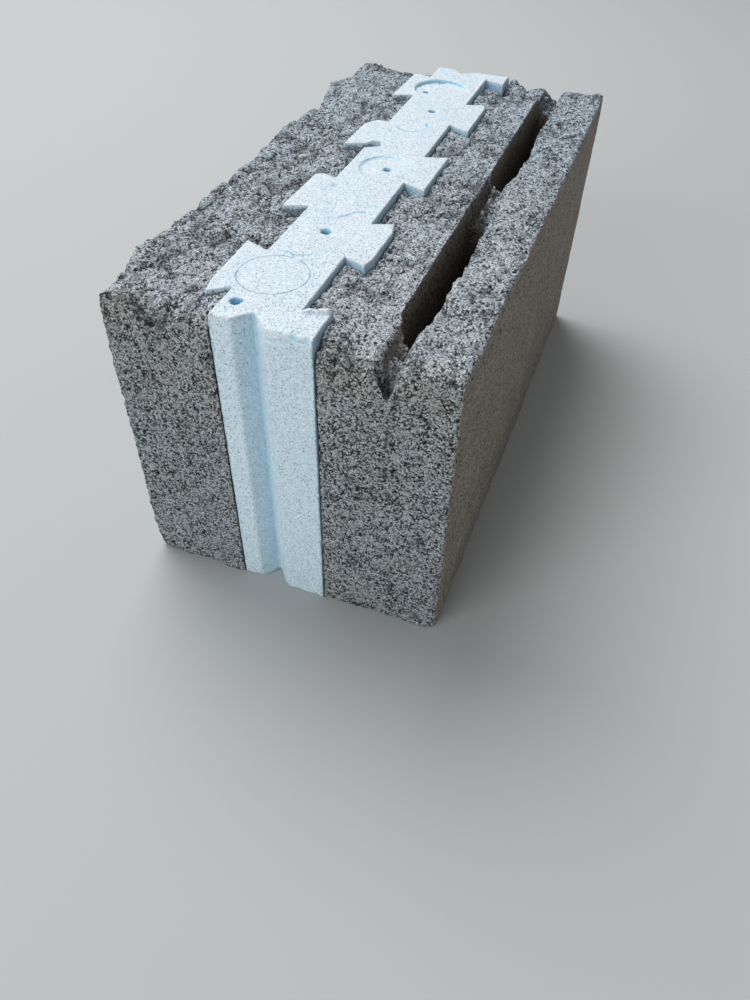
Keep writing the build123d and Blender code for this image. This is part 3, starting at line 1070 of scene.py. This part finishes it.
def concrete_material():
    n = Nodes("concrete_open_pored")
    y, z = n.parts(n.place)[1:]
    painted_shade = n.attribute("painted_shade")
    pressed = n.attribute("pressed")
    uneven = n.uneven_place(0.8, 0.25)
    # Painted shade: near either end the open concrete, chiefly the end faces, is painted darker, with more
    # missing grains.
    at_end = n.ramp(n.math("ABSOLUTE", y), 187, 192)
    at_end = n.product(at_end, n.ramp(pressed, 0, 1, 1, 0))

    # Fine grains are pale domes with dark gaps between them, and more are missing in hollows and clumps. A
    # missing grain's pit is painted dark as shade, and the hollows' painted shade makes more of them go
    # missing.
    clump = n.ramp(n.noise(4.5, 2, 0.6, 31), 0.38, 0.6, 1, 0)
    grains = n.cells(GRAIN_SIZE, uneven)
    pick = n.picks(grains)[0]
    missing = n.total(n.product(clump, 0.14), n.product(painted_shade, 0.35))
    missing = n.total(missing, n.product(at_end, 0.16))
    missing = n.math("LESS_THAN", pick, n.total(missing, 0.07))
    bare = n.math("GREATER_THAN", pick, 0.88)
    tone = n.ramp(grains.outputs["Distance"], 0.3, 0.75, 0.5, -0.62)
    change = n.total(n.product(missing, -0.8), n.product(bare, 0.35))
    contrast = n.product(n.ramp(clump, 0, 1, 0.75, 1.15), n.ramp(pressed, 0, 1, 1, 0.62))
    brightness = n.total(1.0, n.product(n.total(change, tone), contrast))
    brightness = n.math("MAXIMUM", brightness, 0.04)
    brightness = n.product(brightness, n.ramp(at_end, 0, 1, 1, 0.82))
    far = n.ramp(y, -150, 150)
    cement = n.mix(far, CEMENT_NEAR, CEMENT_FAR)
    cement = n.mix(n.ramp(n.noise(38, 3, 0.55, 91), 0.35, 0.65, 0, 0.35), cement, CEMENT_WARM)
    skin_tone = n.mix(n.ramp(n.noise(24, 4, 0.6, 71), 0.35, 0.65), SKIN_DARK, SKIN_PALE)
    colour = n.times(n.mix(pressed, cement, skin_tone), brightness)

    # Warmer dust on the near end, most of all below its crumbled top edge
    low_y = n.ramp(y, -190, -182, 1, 0)
    high_z = n.ramp(z, 120, 190, 0.25, 1)
    dust = n.product(n.product(low_y, high_z), n.ramp(n.noise(19, 3, 0.6, 13), 0.3, 0.6))
    colour = n.tinted(n.product(dust, 0.7), colour, DUST_TINT)
    # Painted shade: the colour goes towards near-black in the tops' creases and hollows, the walls' pores,
    # down the slots, along the joints and on the webs.
    hollow_shade_tone = n.mix(pressed, CEMENT_HOLLOW_SHADE, SKIN_HOLLOW_SHADE)
    hollow_shade_share = n.product(n.ramp(painted_shade, 0.05, 0.9), n.ramp(pressed, 0, 1, 0.5, 0.68))
    colour = n.mix(hollow_shade_share, colour, hollow_shade_tone)

    # A few larger pores, painted near-black as the shade inside them
    lumps = n.cells(PORE_SIZE, uneven)
    crowd = n.total(n.ramp(pressed, 0, 1, 0.006, 0.04), n.product(clump, 0.026))
    pore = n.math("LESS_THAN", n.picks(lumps)[0], crowd)
    pore_shade_tone = n.mix(pressed, CEMENT_PORE_SHADE, SKIN_PORE_SHADE)
    colour = n.mix(n.product(pore, 0.95), colour, pore_shade_tone)

    # Relief of the grains and pores
    dome = n.ramp(grains.outputs["Distance"], 0, 0.8, 0.8, 0)
    height = n.math("SUBTRACT", dome, n.total(pore, n.product(missing, 0.45)))
    height = n.total(height, n.product(n.noise(2.2, 3, 0.65, 3), 0.5))
    normal = n.bump(n.product(height, n.ramp(pressed, 0, 1, 1, 0.4)), 0.4, 0.9)
    return n.finish(colour, CONCRETE_ROUGHNESS, normal, 0.25)


# Colours of the foam, its seams, torn places and their painted bluish shade, and crumbs of concrete, and
# cell sizes
FOAM_PALE = (0.68, 0.735, 0.78)
FOAM_PALEST = (0.7, 0.745, 0.785)
FOAM_END_SHADE_TINT = (1.0, 1.09, 1.12)
FOAM_SEAM = (0.42, 0.62, 0.74)
FOAM_SPECK = (0.12, 0.2, 0.26)
FOAM_TEAR = (0.27, 0.5, 0.66)
FOAM_TORN_AND_SHADE = (0.35, 0.6, 0.75)
FOAM_DEEP_SHADE = (0.23, 0.45, 0.6)
FOAM_RING = (0.2, 0.33, 0.42)
CRUMB = (0.2, 0.21, 0.22)
BEAD_SIZE = 2.6
SPECK_SIZE = 1.6
TEAR_SIZE = 2.1
SPOT_SIZE = 0.8
CRUMB_SIZE = 0.9


def foam_material():
    n = Nodes("foam_moulded_beads")
    x, y, z = n.parts(n.place)
    recess_shade = n.attribute("recess_shade")
    beads = n.cells(BEAD_SIZE)
    bead_edge = n.cells(BEAD_SIZE, feature="DISTANCE_TO_EDGE").outputs["Distance"]
    base = n.mix(n.ramp(n.noise(30, 3, 0.5, 11), 0.35, 0.65), FOAM_PALE, FOAM_PALEST)
    colour = n.times(base, n.ramp(n.picks(beads)[0], 0, 1, 0.965, 1.02))
    colour = n.times(colour, n.ramp(n.picks(n.cells(SPOT_SIZE))[1], 0, 1, 0.78, 1.12))
    # Painted shade: the end faces below the top are tinted bluer, the tone of the insert's shaded faces.
    at_end = n.ramp(n.math("ABSOLUTE", y), 184, 187)
    at_end = n.product(at_end, n.ramp(z, 198, 201, 1, 0))
    colour = n.tinted(at_end, colour, FOAM_END_SHADE_TINT)
    seam_share = n.ramp(n.noise(9, 2, 0.5, 19), 0.4, 0.6, 0.1, 0.4)
    seam = n.product(n.ramp(bead_edge, 0.0, 0.07, 1, 0), seam_share)
    colour = n.mix(seam, colour, FOAM_SEAM)

    # Specks where a gap between the beads shows
    specks = n.cells(SPECK_SIZE, n.uneven_place(1.0, 0.3))
    speck = n.ramp(specks.outputs["Distance"], 0.18, 0.28, 1, 0)
    speck = n.product(speck, n.ramp(n.picks(specks)[2], 0.45, 0.5))
    depth = n.ramp(n.picks(specks)[1], 0, 1, 0.2, 1.0)
    colour = n.mix(n.product(speck, depth), colour, FOAM_SPECK)

    # Small torn places on the ends, most of them on the solid side's lip
    tears = n.cells(TEAR_SIZE, n.uneven_place(0.9, 0.5))
    tear = n.ramp(tears.outputs["Distance"], 0.2, 0.34, 1, 0)
    lip = n.product(n.ramp(x, -27, -23, 1, 0), n.ramp(z, 120, 170))
    worn_share = n.total(n.ramp(n.noise(21, 2, 0.5, 23), 0.5, 0.62, 0, 0.3), n.product(lip, 0.35))
    tear = n.product(tear, n.math("LESS_THAN", n.picks(tears)[0], worn_share))
    tear = n.product(tear, at_end)
    colour = n.mix(tear, colour, FOAM_TEAR)

    # Torn foam is bluer, and the same tone is painted bluish shade on the marks' walls, in the pin holes,
    # cracks and torn places, in the end's groove and on the joint walls, darker still where deep
    torn = n.mix(n.ramp(recess_shade, 0.42, 0.95), FOAM_TORN_AND_SHADE, FOAM_DEEP_SHADE)
    colour = n.mix(n.ramp(recess_shade, 0, 0.8, 0, 0.95), colour, torn)

    # Crumbs of concrete that stick to the flanks of the solid side's teeth
    flank = n.ramp(n.parts(n.add("NewGeometry").outputs["Normal"])[2], 0.35, 0.6, 1, 0)
    flank = n.product(flank, n.ramp(x, -33, -30, 1, 0))
    flank = n.product(flank, n.ramp(n.math("ABSOLUTE", y), 188, 190, 1, 0))
    crumb_line = n.ramp(n.noise(3.2, 3, 0.7, 37), 0.3, 0.7, 198.5, 202.6)
    crumb = n.math("LESS_THAN", z, crumb_line)
    crumb_tone = n.times(CRUMB, n.ramp(n.picks(n.cells(CRUMB_SIZE))[0], 0, 1, 0.3, 1.6))
    colour = n.mix(n.product(crumb, n.product(flank, 0.85)), colour, crumb_tone)

    # The near mark's ring
    colour = n.mix(n.ramp(n.attribute("ring"), 0.15, 0.7, 0, 0.95), colour, FOAM_RING)

    # Relief of the beads, specks and torn places
    height = n.math("SUBTRACT", n.ramp(bead_edge, 0, 0.25, 0, 0.5), n.product(speck, 1.4))
    height = n.math("SUBTRACT", height, tear)
    height = n.total(height, n.product(n.noise(1.2, 2, 0.6, 5), 0.6))
    roughness = n.ramp(n.noise(9, 2, 0.5, 77), 0.3, 0.7, 0.5, 0.68)
    return n.finish(colour, roughness, n.bump(height, 0.25, 0.7), 0.35)


concrete = concrete_material()
beads = foam_material()
for piece, material in ((solid_leaf, concrete), (slotted_leaf, concrete), (foam, beads)):
    piece.data.materials.append(material)


# Floor

FLOOR_HALF = 6.0
FLOOR_CORNERS = [(FLOOR_HALF * x, FLOOR_HALF * y, 0) for x, y in ((-1, -1), (1, -1), (1, 1), (-1, 1))]
FLOOR_COLOUR = (0.475, 0.467, 0.455)


def make_floor():
    mesh = bpy.data.meshes.new("floor")
    mesh.from_pydata(FLOOR_CORNERS, [], [(0, 1, 2, 3)])
    floor = new_object("floor", mesh)
    mesh.materials.append(Nodes("floor_pale").finish(FLOOR_COLOUR, roughness=0.85))


make_floor()


# Light

LIGHT_AIM = (0, 0, 0.1)
WORLD_COLOUR = (0.9, 0.95, 1.0)
WORLD_STRENGTH = 0.28


def area_light(name, place, size, power, colour):
    data = bpy.data.lights.new(name, "AREA")
    data.shape = "DISK"
    data.size = size
    data.energy = power
    data.color = colour
    lamp = new_object(name, data)
    lamp.location = place
    lamp.rotation_euler = (Vector(LIGHT_AIM) - Vector(place)).to_track_quat("-Z", "Y").to_euler()


area_light("sky_left", (-1.2, 0.9, 2.6), size=2.2, power=84, colour=(0.93, 0.97, 1.0))
area_light("fill_front", (-0.9, -2.4, 1.3), size=2.0, power=37, colour=(0.9, 0.975, 1.0))
world = bpy.data.worlds.new("world")
world.use_nodes = True
background = world.node_tree.nodes["Background"]
background.inputs["Color"].default_value = (*WORLD_COLOUR, 1)
background.inputs["Strength"].default_value = WORLD_STRENGTH
bpy.context.scene.world = world
bpy.context.scene.view_settings.view_transform = "Standard"


# Camera, from the block's seven visible corners in the photograph

CAMERA_PLACE = Vector((0.15826, -0.48166, 0.42387))
CAMERA_FORWARD = Vector((-0.22931, 0.65152, -0.72315))
CAMERA_UP = Vector((-0.26727, 0.67224, 0.69041))
FOCAL_PIXELS = 792.5
PHOTO_HEIGHT_PIXELS = 1000


def make_camera():
    data = bpy.data.cameras.new("camera")
    data.lens = FOCAL_PIXELS / PHOTO_HEIGHT_PIXELS * data.sensor_width
    data.clip_start = 0.01
    camera = new_object("camera", data)
    right = CAMERA_FORWARD.cross(CAMERA_UP).normalized()
    up = right.cross(CAMERA_FORWARD).normalized()
    turn = Matrix((right, up, -CAMERA_FORWARD.normalized())).transposed()
    camera.matrix_world = Matrix.Translation(CAMERA_PLACE) @ turn.to_4x4()
    bpy.context.scene.camera = camera


make_camera()
